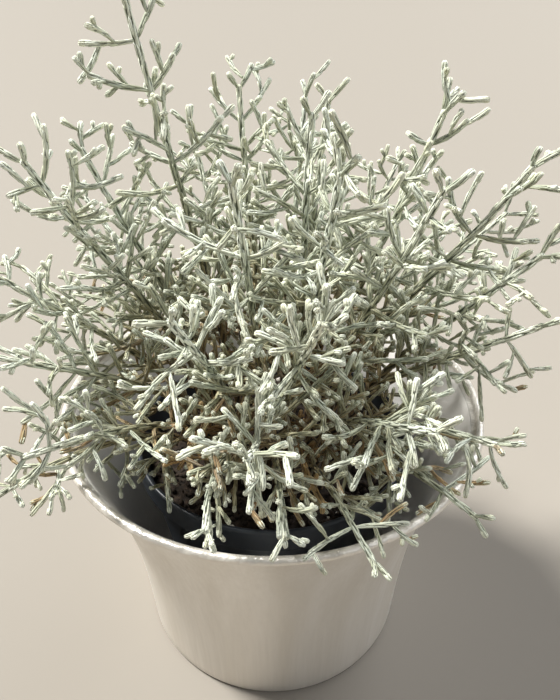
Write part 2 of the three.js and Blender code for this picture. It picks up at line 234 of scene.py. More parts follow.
# Scale leaves, and the core that they lie on.
BOW = 0.04
STEM_FOOT_SHARE = 0.9
CORE_SHARE = 0.74
CLUB = (0.88, 1.02)
LEAF_PITCH = 0.9
FIRST_LEAF = 2.3
LEAF_LENGTH = 6
LEAF_WIDTH = 0.96
LEAF_RISE = 0.35
LEAF_SKEW = 0.3
LEAF_SINK = 0.7
CLOSED_TIP = 0.35
LOOSE_TIP = 1.1
END_LOOSE_SHARE = 0.5
LOOSE_SHARE = 0.12
ROUND_END = 0.95
END_CAP = 0.2
BUD_LEAVES = 5
BUD_LENGTH = 2.4
BUD_TIP = 0.6

# A core's number of sides, how deep its grain is and how pale it is; the rest of its colour is the groove
# colour, painted shade between the leaves.
STEM_CORE = (8, 0.1, 0.1)
SHOOT_CORE = (5, 0.04, 0.3)

# Two sections of a leaf: shares of its length, its width, the core's radius at its edges and its rise.
LEAF_SECTIONS = ((0.28, 0.46, 0.99, 0.8), (0.78, 0.5, 1.03, 1))

# Crumbs on the soil.
CRUMBS = 1500
CRUMB_SEED = 77
CRUMB_REACH = 43.5
CRUMB_SIZES = (0.35, 1.5)
PALE_CRUMB_SHARE = 0.035

NURSERY_BASE = COVER_FLOOR + REST_GAP
NURSERY_TOP = NURSERY_BASE + NURSERY_HEIGHT
UNDER_LIP = NURSERY_TOP - LIP_HEIGHT
SOIL_TOP = NURSERY_TOP - SOIL_BELOW_LIP
SOIL_BOTTOM = NURSERY_BASE + NURSERY_FLOOR + REST_GAP


def mix(a, b, t):
    return a + (b - a) * t


def polar(turn, reach):
    return reach * math.cos(turn), reach * math.sin(turn)


def turns(count):
    """Directions spread evenly round a full circle."""
    return np.arange(count) * 2 * math.pi / count


def draws_from(seed):
    """A seeded source of numbers from 0 to 1."""
    state = (seed * 7919 + 12345) & 0xFFFFFFFF

    def draw():
        nonlocal state
        state = (state * 1664525 + 1013904223) & 0xFFFFFFFF
        return state / 4294967296

    for _ in range(3):
        draw()
    return draw


def unit(vector):
    return vector / np.sqrt((vector * vector).sum(axis=-1, keepdims=True))


def cover_radius_at(z):
    share = np.clip(z / COVER_HEIGHT, 0, 1)
    taper = COVER_TOP_RADIUS - COVER_FOOT_RADIUS - COVER_FLARE
    return COVER_FOOT_RADIUS + taper * share + COVER_FLARE * share**COVER_FLARE_POWER


def nursery_inner_radius_at(z):
    share = min((z - NURSERY_BASE) / (NURSERY_HEIGHT - LIP_HEIGHT), 1)
    return mix(NURSERY_FOOT_RADIUS, NURSERY_BODY_RADIUS, share) - NURSERY_WALL


def is_free(points, radii):
    """True where limbs of these radii clear the pots, the soil and the surface underneath."""
    reach = np.hypot(points[:, 0], points[:, 1])
    height = points[:, 2]
    room = radii + WALL_GAP
    outer = cover_radius_at(height) + 2 * BEAD_RADIUS
    inner = cover_radius_at(height) - COVER_WALL - BEAD_RADIUS
    in_wall = (height < COVER_HEIGHT + room) & (reach > inner - room) & (reach < outer + room)
    in_lip = (height < NURSERY_TOP + room) & (reach > LIP_RADIUS - LIP_KEEP_OUT - room)
    above_soil = height > SOIL_TOP + 2 * SOIL_RELIEF + room
    return (height >= room + GROUND_GAP) & ~in_wall & ((reach >= inner) | (~in_lip & above_soil))


class Stem:
    """A stem's place and tip, and the limbs that have grown on it."""

    def __init__(self, name, degrees, reach, height, seed, dry):
        self.name = name
        self.azimuth = math.radians(degrees)
        self.reach = reach
        self.tip = np.array([*polar(self.azimuth, reach), height])
        self.seed = seed
        self.dry = dry
        self.limbs = []
        self.root = None


def slimness(heights):
    """How thick a shoot at a height is dressed, as a share of its own radius."""
    return np.interp(heights, SLIM_HEIGHTS, SLIM_SHARES)


class Limb:
    """A polyline with a radius at each point, on the stem that it belongs to."""

    def __init__(self, stem, points, radii, parent=None, share=0.0, fine=False):
        self.stem = stem
        self.points = np.array(points)
        self.radii = np.array(radii)
        self.parent = parent
        self.share = share
        self.level = parent.level + 1 if parent else 0
        self.fine = fine
        self.number = -1

    def length(self):
        return float(np.linalg.norm(np.diff(self.points, axis=0), axis=1).sum())

    def at(self, share):
        """The point and the direction at a share of the limb's steps."""
        steps = len(self.points) - 1
        index = min(int(share * steps), steps - 1)
        start = self.points[index]
        end = self.points[index + 1]
        return mix(start, end, share * steps - index), unit(end - start)


class Thicket:
    """Every straight piece that has grown so far, and the test whether a new limb keeps clear of them."""

    ROOM = 40000
    PARALLEL = 1e-9

    def __init__(self):
        self.count = 0
        self.limbs = 0
        self.starts, self.alongs, self.middles = np.zeros((3, self.ROOM, 3))
        self.halves, self.radii, self.shares = np.zeros((3, self.ROOM))
        self.owners = np.zeros((self.ROOM, 3), int)

    def distances(self, start, along, chosen):
        """The shortest distance from one straight piece to each of the chosen ones."""
        between = start - self.starts[chosen]
        others = self.alongs[chosen]
        pp = along @ along
        qq = (others * others).sum(axis=1)
        pq = others @ along
        pb = between @ along
        qb = (others * between).sum(axis=1)
        denominator = pp * qq - pq * pq
        crossing = denominator > self.PARALLEL
        safe = np.where(crossing, denominator, 1)
        on_p = np.where(crossing, np.clip((pq * qb - pb * qq) / safe, 0, 1), 0)
        on_q = (pq * on_p + qb) / qq
        on_p = np.where(on_q < 0, np.clip(-pb / pp, 0, 1), on_p)
        on_p = np.where(on_q > 1, np.clip((pq - pb) / pp, 0, 1), on_p)
        on_q = np.clip(on_q, 0, 1)
        gaps = between + on_p[:, None] * along - on_q[:, None] * others
        return np.sqrt((gaps * gaps).sum(axis=1))

    def fits(self, limb):
        stem_gap, own_gap = (FINE_GAP, FINE_OWN_GAP) if limb.fine else (STEM_GAP, OWN_GAP)
        points = limb.points
        radii = limb.radii
        shares = np.array([0.25, 0.5, 0.75, 1])
        samples = mix(points[:-1], points[1:], shares[:, None, None]).reshape(-1, 3)
        if not is_free(samples, np.tile(radii[1:], len(shares))).all():
            return False
        n = self.count
        owner, stem, parent = self.owners[:n].T
        parent_number = limb.parent.number if limb.parent else -2
        same_place = FINE_TWIN_SHARE if limb.fine else TWIN_SHARE
        twins = (parent == parent_number) & (np.abs(self.shares[:n] - limb.share) < same_place)
        gaps = np.where(stem == limb.stem.seed, own_gap, stem_gap)
        counts = (owner != parent_number) & ~twins
        for i in range(len(points) - 1):
            along = points[i + 1] - points[i]
            middle = (points[i + 1] + points[i]) * 0.5
            half = math.sqrt(along @ along) / 2
            need = max(radii[i], radii[i + 1]) + self.radii[:n] + gaps
            away = self.middles[:n] - middle
            near = (away * away).sum(axis=1) <= (half + self.halves[:n] + need) ** 2
            chosen = np.nonzero(near & counts)[0]
            if len(chosen) and (self.distances(points[i], along, chosen) < need[chosen]).any():
                return False
        return True

    def keep(self, limb):
        steps = len(limb.points) - 1
        new = slice(self.count, self.count + steps)
        along = np.diff(limb.points, axis=0)
        limb.number = self.limbs
        self.starts[new] = limb.points[:-1]
        self.alongs[new] = along
        self.middles[new] = (limb.points[:-1] + limb.points[1:]) * 0.5
        self.halves[new] = np.sqrt((along * along).sum(axis=1)) / 2
        self.radii[new] = np.maximum(limb.radii[:-1], limb.radii[1:])
        self.owners[new] = (limb.number, limb.stem.seed, limb.parent.number if limb.parent else -1)
        self.shares[new] = limb.share
        self.count += steps
        self.limbs += 1
        limb.stem.limbs.append(limb)


thicket = Thicket()


def place_roots(stems):
    """Each root stands on the side that its stem leans to, pushed away from the others to a common pitch."""
    for stem in stems:
        out = mix(ROOT_INNER, ROOT_SPREAD, stem.reach / LONGEST_REACH)
        stem.root = np.array(polar(stem.azimuth, out))
    for _ in range(ROOT_ROUNDS):
        for a in stems:
            for b in stems:
                apart = b.root - a.root
                distance = math.sqrt(apart @ apart)
                if a is b or distance >= ROOT_PITCH:
                    continue
                apart = apart * ((ROOT_PITCH - distance) / (2 * distance))
                b.root = b.root + apart
                a.root = a.root - apart


def stem_line(stem, turn, sway):
    foot = np.array([*stem.root, SOIL_TOP + STRAIGHT_LENGTH])
    span = math.sqrt(((stem.tip - foot) ** 2).sum())
    pitch = math.atan2((stem.tip[2] - HEART_HEIGHT) * TIP_UPLIFT, stem.reach)
    east, north = polar(stem.azimuth + turn, 1)
    heading = np.array([math.cos(pitch) * east, math.cos(pitch) * north, math.sin(pitch)])
    lean = unit(np.array([east * ROOT_LEAN + sway, north * ROOT_LEAN - sway, 1]))
    near_foot = foot + lean * (span * FOOT_PULL)
    near_tip = stem.tip - heading * (span * TIP_PULL)
    t = np.linspace(0, 1, STEM_STEPS + 1)[:, None]
    k = 1 - t
    return k**3 * foot + 3 * k * k * t * near_foot + 3 * k * t * t * near_tip + t**3 * stem.tip


def grow_stem(stem):
    """A stem takes the first line that clears the others, out of lines that stray more and more."""
    draw = draws_from(stem.seed)
    shares = [i / STEM_STEPS for i in range(STEM_STEPS + 1)]
    radii = [mix(STEM_FOOT_RADIUS, STEM_TIP_RADIUS, math.sqrt(share)) for share in shares]
    for attempt in range(STEM_TRIES):
        loosen = attempt / STEM_TRIES
        turn = (draw() - 0.5) * mix(*STEM_TURN, loosen)
        sway = (draw() - 0.5) * mix(*STEM_SWAY, loosen)
        limb = Limb(stem, stem_line(stem, turn, sway), radii)
        if thicket.fits(limb):
            thicket.keep(limb)
            return


def sideways(direction, turn):
    """A unit vector square to a direction, turned round it."""
    up = np.array([1.0, 0, 0]) if abs(direction[2]) > NEARLY_UPRIGHT else np.array([0, 0, 1.0])
    across = unit(np.cross(direction, up))
    over = unit(np.cross(across, direction))
    return across * math.cos(turn) + over * math.sin(turn)


def grow_side(parent, share, turn, length, radius, bends, angles, draw, fine=False):
    """One side shoot or twig: it leaves its parent at an angle and bends a little back along it."""
    point, direction = parent.at(share)
    stray, back, droop = (FINE_STRAY, FINE_BEND_BACK, FINE_DROOP) if fine else (STRAY, BEND_BACK, 0)
    if fine:
        radius = radius * slimness(point[2])
    for attempt in range(SIDE_TRIES):
        spin = turn + (draw() - 0.5) * (SPIN + attempt * SPIN_PER_TRY)
        wide = math.radians(mix(*angles, draw()))
        reach = length * (1 - attempt * SHORTEN_PER_TRY) * mix(*REACH_SHARES, draw())
        heading = direction * math.cos(wide) + sideways(direction, spin) * math.sin(wide)
        points = [point]
        for _ in range(bends):
            points.append(points[-1] + heading * (reach / bends))
            drift = (np.array([draw(), draw(), draw()]) - DRIFT_MIDDLES) * stray
            heading = unit(heading + direction * back + drift - np.array([0, 0, droop]))
        radii = [radius * ROOT_TAPER] + [radius] * bends
        limb = Limb(parent.stem, points, radii, parent, share, fine)
        if thicket.fits(limb):
            thicket.keep(limb)
            return


def grow_shoots(stem):
    """Side shoots stand in pairs, one on each side of the stem, and the last pair is the fork at its tip."""
    draw = draws_from(stem.seed + SHOOT_SEED)
    main = stem.limbs[0]
    length = main.length()
    last = 1 - WHORL_HALF / length
    count = math.floor((length * (last - WHORL_FIRST)) / WHORL_SPACING + 0.5)
    tallness = min(max((stem.tip[2] - LOW_TIP) / (HIGH_TIP - LOW_TIP), 0), 1)
    stem_size = mix(LOW_TIP_SIZE, 1, tallness)
    dry_size = DRY_SHOOT_SIZE if stem.dry else 1
    for i in range(count + 1):
        is_fork = i == count
        share = mix(WHORL_FIRST, last, i / count)
        upward = max(0, (share - SHORTENS_FROM) / (1 - SHORTENS_FROM))
        longest = SHOOT_SHORTEST * FORK_SIZE if is_fork else mix(SHOOT_LONGEST, SHOOT_SHORTEST, upward)
        size = longest * stem_size * (LOW_SIZE if share < LOW_SHARE else 1) * dry_size
        turn = i * GOLDEN_ANGLE + stem.seed
        bends, angles = (1, FORK_ANGLES) if is_fork else (2, SIDE_ANGLES)
        for low, high, side in PAIR:
            reach = size * mix(low, high, draw())
            grow_side(main, share, turn + side, reach, SHOOT_RADIUS, bends, angles, draw)


def grow_twigs(stem):
    """A side shoot bears one twig at its bend and one at its end, as a fork."""
    draw = draws_from(stem.seed + TWIG_SEED)
    for shoot in [limb for limb in stem.limbs if limb.level == 1 and len(limb.points) == 3]:
        end = 1 - WHORL_HALF / shoot.length()
        turn = draw() * 2 * math.pi
        reach = mix(*TWIG_SIZES, draw()) * TWIG_LONGEST
        grow_side(shoot, 0.5, turn, reach, TWIG_RADIUS, 1, SIDE_ANGLES, draw)
        reach = mix(*FORK_TWIG_SIZES, draw()) * TWIG_SHORTEST
        grow_side(shoot, end, turn + GOLDEN_ANGLE, reach, TWIG_RADIUS, 1, FORK_ANGLES, draw)


def grow_fill(stem):
    """More shoots along the stem, in pairs between the whorls of the solids."""
    draw = draws_from(stem.seed + FILL_SEED)
    main = stem.limbs[0]
    count = round(main.length() * (1 - FILL_FIRST) / FILL_SPACING)
    for i in range(count):
        share = mix(FILL_FIRST, FILL_LAST, (i + draw() * FILL_STRAY) / count)
        size = mix(FILL_LONGEST, FILL_SHORTEST, share) * (DRY_SHOOT_SIZE if stem.dry else 1)
        turn = i * GOLDEN_ANGLE + stem.seed * FILL_TURN
        for side in FILL_SIDES:
            reach = size * mix(*FILL_SIZES, draw())
            grow_side(main, share, turn + side, reach, FILL_RADIUS, 2, FILL_ANGLES, draw, True)


def grow_sprigs(stem):
    """Twigs along every side shoot that is long enough."""
    draw = draws_from(stem.seed + SPRIG_SEED)
    for shoot in [limb for limb in stem.limbs if limb.level == 1 and limb.length() > SPRIG_PARENT_LENGTH]:
        turn = draw() * 2 * math.pi
        for i, middle in enumerate(SPRIG_SHARES):
            reach = mix(SPRIG_LONGEST, SPRIG_SHORTEST, middle) * mix(*SPRIG_SIZES, draw())
            share = middle + (draw() - 0.5) * SPRIG_STRAY
            bends = 2 if reach > SPRIG_BENDS_FROM else 1
            spin = turn + i * GOLDEN_ANGLE
            grow_side(shoot, share, spin, reach, SPRIG_RADIUS, bends, SPRIG_ANGLES, draw, True)


def grow_fingers(stem):
    """Short fingers just below the ends of shoots and twigs, some of them in pairs."""
    draw = draws_from(stem.seed + FINGER_SEED)
    for limb in [one for one in stem.limbs if one.level > 0 and one.length() > FINGER_PARENT_LENGTH]:
        turn = draw() * 2 * math.pi
        chance = draw()
        for i in range((chance < PAIR_CHANCE) + (chance < FINGER_CHANCE)):
            share = 1 - mix(*FINGER_BELOW_END, draw()) / limb.length()
            reach = FINGER_LENGTH * mix(*FINGER_SIZES, draw())
            side = turn + i * math.pi
            grow_side(limb, share, side, reach, FINGER_RADIUS, 1, FINGER_ANGLES, draw, True)


def grow_plant():
    stems = [
        Stem(f"leafy_stem_{i + 1:02d}", *row, LEAFY_SEED + i, False) for i, row in enumerate(LEAFY_STEMS)
    ] + [Stem(f"dry_stem_{i + 1:02d}", *row, DRY_SEED + i, True) for i, row in enumerate(DRY_STEMS)]
    place_roots(stems)
    for grow in (grow_stem, grow_shoots, grow_twigs, grow_fill, grow_sprigs, grow_fingers):
        for stem in stems:
            grow(stem)
    return stems


class Path:
    """A limb's smooth middle line, sampled closely, with a frame that doesn't twist."""

    SPACING = 2.2
    OVERHANG = 0.35
    NARROWEST = 0.002

    def __init__(self, points, radii, bow):
        if len(points) == 2:
            middle = (points[0] + points[1]) / 2 + bow
            points = np.array([points[0], middle, points[1]])
            radii = np.array([radii[0], radii[1], radii[1]])
        self.points, self.radii = self.smoothed(points, radii)
        steps = np.diff(self.points, axis=0)
        lengths = np.linalg.norm(steps, axis=1)
        self.arc = np.concatenate([[0], np.cumsum(lengths)])
        self.length = self.arc[-1]
        directions = steps / lengths[:, None]
        tangents = np.concatenate([directions[:1], directions[:-1] + directions[1:], directions[-1:]])
        self.tangents = unit(tangents)
        side = sideways(self.tangents[0], 0)
        sides = []
        for tangent in self.tangents:
            side = unit(side - tangent * (side @ tangent))
            sides.append(side)
        self.sides = np.array(sides)

    def smoothed(self, points, radii):
        """Points on a curve through the limb's own points, closer together."""
        before = np.concatenate([[2 * points[0] - points[1]], points[:-1]])
        after = np.concatenate([points[1:], [2 * points[-1] - points[-2]]])
        pulls = (after - before) / 2
        line = []
        girth = []
        for i in range(len(points) - 1):
            count = max(2, round(np.linalg.norm(points[i + 1] - points[i]) / self.SPACING))
            for j in range(count):
                t = j / count
                a = 2 * t**3 - 3 * t**2 + 1
                b = t**3 - 2 * t**2 + t
                c = -2 * t**3 + 3 * t**2
                d = t**3 - t**2
                line.append(a * points[i] + b * pulls[i] + c * points[i + 1] + d * pulls[i + 1])
                girth.append(mix(radii[i], radii[i + 1], t))
        line.append(points[-1])
        girth.append(radii[-1])
        return np.array(line), np.array(girth)

    def shape_core(self, foot_share, tip_share):
        """Sets how thick the core is along the line, as shares of the limb's own radius."""
        part = self.arc / self.length
        smooth = part * part * (3 - 2 * part)
        self.core = self.radii * mix(foot_share, tip_share, smooth)

    def core_at(self, arc):
        return np.interp(arc, self.arc, self.core)

    def rounding(self, arc):
        """How much narrower everything is towards the rounded end, which is never quite a point."""
        past = np.clip((arc - self.length + ROUND_END) / (ROUND_END + self.OVERHANG), 0, 1)
        return np.sqrt(np.maximum(1 - past * past, self.NARROWEST))

    def around(self, arc, angle, out):
        """Points at distances along the line, angles round it and distances from it."""
        inside = np.clip(arc, 0, self.length)
        point, tangent, side = [
            np.stack([np.interp(inside, self.arc, column) for column in rows.T], axis=-1)
            for rows in (self.points, self.tangents, self.sides)
        ]
        tangent = unit(tangent)
        side = unit(side - tangent * (side * tangent).sum(axis=-1, keepdims=True))
        over = np.cross(tangent, side)
        point = point + tangent * (arc - inside)[..., None]
        out = (out * self.rounding(arc))[..., None]
        return point + (side * np.cos(angle)[..., None] + over * np.sin(angle)[..., None]) * out


class Patchwork:
    """Corners and triangles gathered for one mesh, with a few values for each corner."""

    def __init__(self):
        self.corners = []
        self.faces = []
        self.values = []
        self.count = 0

    def add(self, corners, faces, ridge, age, tone):
        self.corners.append(corners)
        self.faces.append(faces + self.count)
        self.values.append(np.stack([np.broadcast_to(v, len(corners)) for v in (ridge, age, tone)]))
        self.count += len(corners)

    def to_object(self, name):
        corners = np.concatenate(self.corners) * MM
        faces = np.concatenate(self.faces)
        piece = make_mesh(name, corners, faces)
        for label, values in zip(("ridge", "age", "tone"), np.concatenate(self.values, axis=1)):
            layer = piece.data.attributes.new(label, "FLOAT", "POINT")
            layer.data.foreach_set("value", values.astype(np.float32))
        return piece


def make_mesh(name, corners, faces):
    mesh = bpy.data.meshes.new(name)
    if isinstance(faces, np.ndarray):
        count = len(faces)
        mesh.vertices.add(len(corners))
        mesh.vertices.foreach_set("co", np.ascontiguousarray(corners, np.float32).ravel())
        mesh.loops.add(count * 3)
        mesh.loops.foreach_set("vertex_index", faces.astype(np.int32).ravel())
        mesh.polygons.add(count)
        mesh.polygons.foreach_set("loop_start", np.arange(0, count * 3, 3, dtype=np.int32))
        mesh.update(calc_edges=True)
    else:
        mesh.from_pydata([tuple(corner) for corner in np.asarray(corners).tolist()], [], faces)
    mesh.shade_smooth()
    piece = bpy.data.objects.new(name, mesh)
    bpy.context.scene.collection.objects.link(piece)
    return piece


def ring_faces(rings, sides):
    """Triangles between rings of corners that follow each other."""
    low = (np.arange(rings - 1)[:, None] * sides + np.arange(sides)[None, :]).ravel()
    next_low = (np.arange(rings - 1)[:, None] * sides + (np.arange(sides)[None, :] + 1) % sides).ravel()
    upper = np.stack([low, next_low, next_low + sides], axis=1)
    lower = np.stack([low, next_low + sides, low + sides], axis=1)
    return np.concatenate([upper, lower])


def add_core(patchwork, path, ages_and_shade, tone, kind):
    """The twig inside its leaves: a closed tube with a rounded end."""
    sides, grain, bare = kind
    arc = np.append(path.arc[:-1], [path.length - 0.5, path.length])
    rings = len(arc)
    angles = turns(sides)
    wobble = 1 + grain * np.sin(angles[None, :] * 3 + arc[:, None] * 1.9)
    out = path.core_at(arc)[:, None] * wobble
    corners = path.around(np.repeat(arc, sides), np.tile(angles, rings), out.ravel())
    end = path.around(np.array([path.length + END_CAP]), np.zeros(1), np.zeros(1))
    last = rings * sides
    cap = [[k, last + 1, (k + 1) % sides] for k in range(sides)]
    top = (rings - 1) * sides
    cap += [[top + k, top + (k + 1) % sides, last] for k in range(sides)]
    faces = np.concatenate([ring_faces(rings, sides), np.array(cap)])
    age = np.append(np.repeat(np.interp(arc, [0, path.length], ages_and_shade), sides), [ages_and_shade[1], ages_and_shade[0]])
    # The core mostly takes the groove colour, which is painted shade; its grain ridges take more of the keel
    # colour.
    ridge = np.append(np.clip(bare + (wobble.ravel() - 1) * 3, 0, 1), [0.5, 0.3])
    patchwork.add(np.concatenate([corners, end, path.points[:1]]), faces, ridge, age, tone)


LEAF_FACES = np.array([
    [0, 2, 1], [0, 3, 2], [1, 2, 5], [1, 5, 4], [2, 3, 6], [2, 6, 5],
    [4, 5, 7], [5, 6, 7], [0, 1, 3], [1, 6, 3], [1, 4, 6], [4, 7, 6],
])
# How much keel colour each leaf corner takes; the rest is the groove colour, painted shade.
LEAF_RIDGE = np.array([0, 0, 0.9, 0, 0, 1, 0, 0.75])


def add_leaves(patchwork, path, base, angle, shape, age, tone):
    """Scale leaves along a path: each is pressed to the twig, sunk at its foot, keeled and blunt."""
    length, width, rise, skew, lift = shape
    count = len(base)
    rows = [path.around(base, angle, path.core_at(base) * LEAF_SINK)]
    for along, half, edge, keel in LEAF_SECTIONS:
        place = base + length * along
        core = path.core_at(place)
        turn = angle + skew * along
        wide = width * half / core
        rows += [
            path.around(place, turn - wide, core * edge),
            path.around(place, turn, core + rise * keel),
            path.around(place, turn + wide, core * edge),
        ]
    tip = base + length
    rows.append(path.around(tip, angle + skew, path.core_at(tip) + rise * lift))
    corners = np.stack(rows, axis=1).reshape(-1, 3)
    faces = (LEAF_FACES[None, :, :] + (np.arange(count) * 8)[:, None, None]).reshape(-1, 3)
    patchwork.add(corners, faces, np.tile(LEAF_RIDGE, count), np.repeat(age, 8), np.repeat(tone, 8))


def shoot_ages_and_shade(limb, generator):
    """A shoot's age at its foot and at its end, lower on inner shoots as painted shade over some real
    browning. A few of the low ones are brown.
    """
    outward = np.linalg.norm(limb.points[0] - AGE_CENTRE)
    # Lower ages further in: painted shade inside the bush, over some real browning of inner wood.
    foot = np.interp(outward, INNER_AGE_AND_SHADE_REACH, FOOT_AGES_AND_SHADE) + generator.uniform(-0.1, 0.1)
    end = np.interp(outward, INNER_AGE_AND_SHADE_REACH, END_AGES_AND_SHADE) + generator.uniform(-0.05, 0.05)
    is_brown = generator.uniform() < BROWN_SHARE and limb.points[-1, 2] < BROWN_BELOW
    return BROWN_AGES if is_brown else (foot, end)


def clothe(patchwork, limb, generator):
    """Core, scale leaves and end bud of one limb."""
    woody = limb.level == 0
    tone = generator.uniform(-0.5, 0.5)
    points = limb.points
    radii = limb.radii
    height = limb.points[-1, 2]
    if woody:
        foot = np.array([[*limb.stem.root, SOIL_TOP - 3]])
        points = np.concatenate([foot, points])
        radii = np.concatenate([radii[:1], radii])
    if not limb.fine:
        radii = radii * slimness(np.maximum(points[:, 2], height if woody else 0))
    path = Path(points, radii, generator.uniform(-1, 1, 3) * limb.length() * BOW)
    if woody:
        path.shape_core(STEM_FOOT_SHARE, CORE_SHARE)
        ages_and_shade = (STEM_FOOT_AGE, np.interp(height, SLIM_HEIGHTS, STEM_END_AGES))
    else:
        path.shape_core(CORE_SHARE * CLUB[0], CORE_SHARE * CLUB[1])
        ages_and_shade = shoot_ages_and_shade(limb, generator)
    add_core(patchwork, path, ages_and_shade, tone, STEM_CORE if woody else SHOOT_CORE)
    count = int(path.length / LEAF_PITCH)
    order = np.arange(count)
    base = path.length - FIRST_LEAF - order * LEAF_PITCH + generator.uniform(-0.2, 0.2, count)
    keep = base > (0.2 if woody else -1)
    if woody:
        position = np.clip(base / path.length, 0, 1)
        keep &= generator.uniform(0, 1, count) < np.clip((position - 0.1) * 2.5, 0.12, 1)
    base = base[keep]
    count = len(base)
    angle = order[keep] * GOLDEN_ANGLE + generator.uniform(-0.25, 0.25, count)
    length = LEAF_LENGTH * generator.uniform(0.75, 1.2, count)
    length = np.minimum(length, path.length + 0.1 - base)
    lean = generator.choice([-1, 1]) * LEAF_SKEW
    chance = np.where(base > path.length - LEAF_LENGTH, END_LOOSE_SHARE, LOOSE_SHARE)
    loose = np.where(generator.uniform(0, 1, count) < chance, LOOSE_TIP, CLOSED_TIP)
    slim = slimness(height)
    shape = (
        length,
        LEAF_WIDTH * slim * generator.uniform(0.85, 1.15, count),
        LEAF_RISE * slim * generator.uniform(0.75, 1.25, count),
        lean * generator.uniform(0.2, 1.3, count),
        loose,
    )
    age = mix(*ages_and_shade, np.clip(base / path.length, 0, 1))
    add_leaves(patchwork, path, base, angle, shape, age, tone + generator.uniform(-0.5, 0.5, count))
    add_bud(patchwork, path, tone, slim, generator)


def add_bud(patchwork, path, tone, slim, generator):
    """The leaves that close over the end of a twig."""
    base = path.length + END_CAP - BUD_LENGTH * generator.uniform(0.8, 1, BUD_LEAVES)
    angle = turns(BUD_LEAVES) + generator.uniform(0, 1)
    length = path.length + END_CAP - base
    shape = (length, LEAF_WIDTH * slim, LEAF_RISE * slim, LEAF_SKEW, BUD_TIP)
    yellowing = tone + 0.2 + generator.uniform(0, 0.6, BUD_LEAVES)
    add_leaves(patchwork, path, base, angle, shape, np.ones(BUD_LEAVES), yellowing)


def stem_piece(stem):
    generator = np.random.default_rng(stem.seed)
    patchwork = Patchwork()
    for limb in stem.limbs:
        clothe(patchwork, limb, generator)
    return patchwork.to_object(stem.name + "_leafy")


# Pots and soil.
def arc_points(centre, radius, first, last, count):
    """Points of a profile on a round, with its angles given in half turns."""
    angles = np.linspace(first, last, count) * math.pi
    return [(centre[0] + radius * math.cos(angle), centre[1] + radius * math.sin(angle)) for angle in angles]


def lathe(name, profile, sides):
    """A closed body turned from a profile whose first and last points lie on the axis."""
    inner = profile[1:-1]
    angles = turns(sides)
    corners = [(*polar(angle, reach), z) for reach, z in inner for angle in angles]
    first = len(corners)
    corners += [(0, 0, profile[0][1]), (0, 0, profile[-1][1])]
    faces = ring_faces(len(inner), sides).tolist()
    top = (len(inner) - 1) * sides
    for k in range(sides):
        following = (k + 1) % sides
        faces.append([first, following, k])
        faces.append([top + k, top + following, first + 1])
    return make_mesh(name, np.array(corners) * MM, faces)


def cover_pot_piece():
    """The metal shell. Its attribute "inside" is 0 on the outer side and 1 on the inner side, where the
    metal is given painted light.
    """
    shares = np.linspace(0.015, 0.975, COVER_RINGS)
    wall = [(float(cover_radius_at(s * COVER_HEIGHT)), s * COVER_HEIGHT) for s in shares]
    bead = arc_points((COVER_TOP_RADIUS, COVER_HEIGHT - BEAD_RADIUS), BEAD_RADIUS, -0.45, 1.2, 16)
    inside = [(r - COVER_WALL, z) for r, z in reversed(wall[1:])]
    foot = [(0, 0.4), (COVER_FOOT_RADIUS - 5, 0.4), (COVER_FOOT_RADIUS - 4, 0)]
    foot_centre = (COVER_FOOT_RADIUS - COVER_FOOT_ROUND, COVER_FOOT_ROUND)
    foot += arc_points(foot_centre, COVER_FOOT_ROUND, -0.5, -0.05, 6)
    floor = [(COVER_FOOT_RADIUS - COVER_WALL - 1, COVER_FLOOR), (0, COVER_FLOOR)]
    pot = lathe("cover_pot_turned", foot + wall + bead + inside + floor, COVER_SIDES)
    outer = [0] * (len(foot + wall + bead) - 1)
    inner = [1] * (len(inside + floor) - 1)
    values = np.append(np.repeat(outer + inner, COVER_SIDES), [0, 1]).astype(np.float32)
    pot.data.attributes.new("inside", "FLOAT", "POINT").data.foreach_set("value", values)
    return pot


def nursery_pot_piece():
    floor = NURSERY_BASE + NURSERY_FLOOR
    outside = [(0, NURSERY_BASE), (NURSERY_FOOT_RADIUS - 1, NURSERY_BASE)]
    outside += [
        (mix(NURSERY_FOOT_RADIUS, NURSERY_BODY_RADIUS, share), mix(NURSERY_BASE + 1, UNDER_LIP, share))
        for share in (0, 0.25, 0.5, 0.75, 0.97)
    ]
    lip = arc_points((LIP_RADIUS - 1, UNDER_LIP + 1.2), 1, -0.6, 0, 6)
    lip += arc_points((LIP_RADIUS - LIP_THICKNESS / 2, NURSERY_TOP - 1), 1, 0, 1, 10)
    inside = [
        (NURSERY_BODY_RADIUS - NURSERY_WALL + 0.6, UNDER_LIP + 1.4),
        (NURSERY_BODY_RADIUS - NURSERY_WALL, UNDER_LIP),
        (nursery_inner_radius_at(floor), floor),
        (0, floor),
    ]
    pot = lathe("nursery_pot_moulded", outside + lip + inside, 120)
    drill_drains(pot)
    return pot


def drill_drains(pot):
    """Cuts the drain holes through the floor."""
    corners = []
    faces = []
    sides = 24
    ring = [polar(angle, DRAIN_RADIUS) for angle in turns(sides)]
    for turn in turns(DRAIN_HOLES):
        x, y = polar(turn, DRAIN_CIRCLE)
        start = len(corners)
        for z in (NURSERY_BASE - 1, NURSERY_BASE + NURSERY_FLOOR + 1):
            corners += [(x + across, y + along, z) for across, along in ring]
        low = list(range(start, start + sides))
        for k in range(sides):
            faces.append([low[k], low[(k + 1) % sides], low[(k + 1) % sides] + sides, low[k] + sides])
        faces += [low[::-1], [corner + sides for corner in low]]
    drill = make_mesh("drill", np.array(corners) * MM, faces)
    cut = pot.modifiers.new("drains", "BOOLEAN")
    cut.operation = "DIFFERENCE"
    cut.object = drill
    bpy.context.view_layer.update()
    evaluated = pot.evaluated_get(bpy.context.evaluated_depsgraph_get())
    mesh = bpy.data.meshes.new_from_object(evaluated)
    pot.modifiers.clear()
    pot.data = mesh
    bpy.data.objects.remove(drill)


